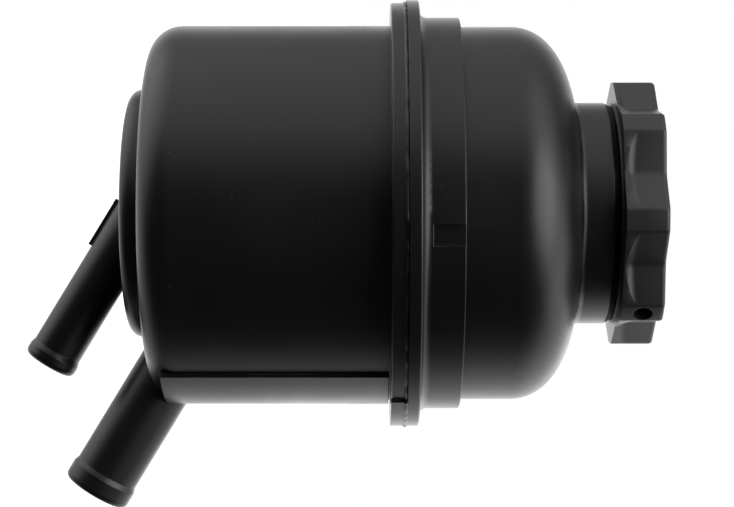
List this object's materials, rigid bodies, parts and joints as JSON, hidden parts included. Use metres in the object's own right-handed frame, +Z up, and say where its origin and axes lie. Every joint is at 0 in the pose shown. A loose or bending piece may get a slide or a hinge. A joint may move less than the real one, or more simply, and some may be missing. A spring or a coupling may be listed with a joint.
{
  "type": "power steering reservoir",
  "caption": "Round moulded steering fluid reservoir with a filter inside, two raked hose spigots, a keyed collar for a band clamp and a lobed screw cap with dipstick.",
  "frame": {"origin": "on the reservoir's axis, at the middle of the round collar that the band clamp grips", "axes": "+Z up the axis, out of the filler neck; +X the side that both hose spigots point to"},
  "size_m": [0.1194, 0.1, 0.1474],
  "materials": {
    "housing_plastic": "satin moulded black polyamide",
    "cap_plastic": "matte moulded black polyamide",
    "insert_plastic": "smooth dark grey moulding",
    "inner_plastic": "natural undyed moulding",
    "seal_rubber": "smooth black rubber",
    "dipstick_plastic": "smooth yellow moulding",
    "end_disc_steel": "zinc plated pressed sheet",
    "filter_paper": "resin treated pleated filter paper",
    "spring_steel": "drawn spring wire"
  },
  "bodies": {
    "housing": {"lower_bowl": "housing_plastic", "upper_housing": "housing_plastic", "spring_retainer": "inner_plastic", "suction_strainer": "inner_plastic", "filter_spring": "spring_steel"},
    "filter": {"filter_bottom_plate": "end_disc_steel", "filter_top_plate": "end_disc_steel", "filter_core": "end_disc_steel", "filter_media": "filter_paper", "filter_grommet": "seal_rubber"},
    "cap_seal": {"cap_seal_ring": "seal_rubber"},
    "cap_plug": {"cap_insert": "insert_plastic", "dipstick": "dipstick_plastic"},
    "cap_shell": {"filler_cap": "cap_plastic"}
  },
  "joints": [
    {"name": "filter_lift", "type": "slide", "parent": "housing", "child": "filter", "axis": [0, 0, 1], "range_m": [0, 0.004], "stiffness_N_per_m": 2400, "springref_m": -0.005, "deforming": ["filter_spring"]},
    {"name": "cap_pull", "type": "slide", "parent": "housing", "child": "cap_seal", "axis": [0, 0, 1], "range_m": [0, 0.06]},
    {"name": "cap_rise", "type": "slide", "parent": "cap_seal", "child": "cap_plug", "axis": [0, 0, 1], "range_m": [0, 0.005]},
    {"name": "cap_turn", "type": "hinge", "parent": "cap_plug", "child": "cap_shell", "pos_m": [0, 0, 0.03985], "axis": [0, 0, 1], "range_deg": [0, 450]}
  ],
  "couplings": [
    {"joint": "cap_turn", "follows": "cap_rise", "rad_per_m": 1570.8}
  ]
}
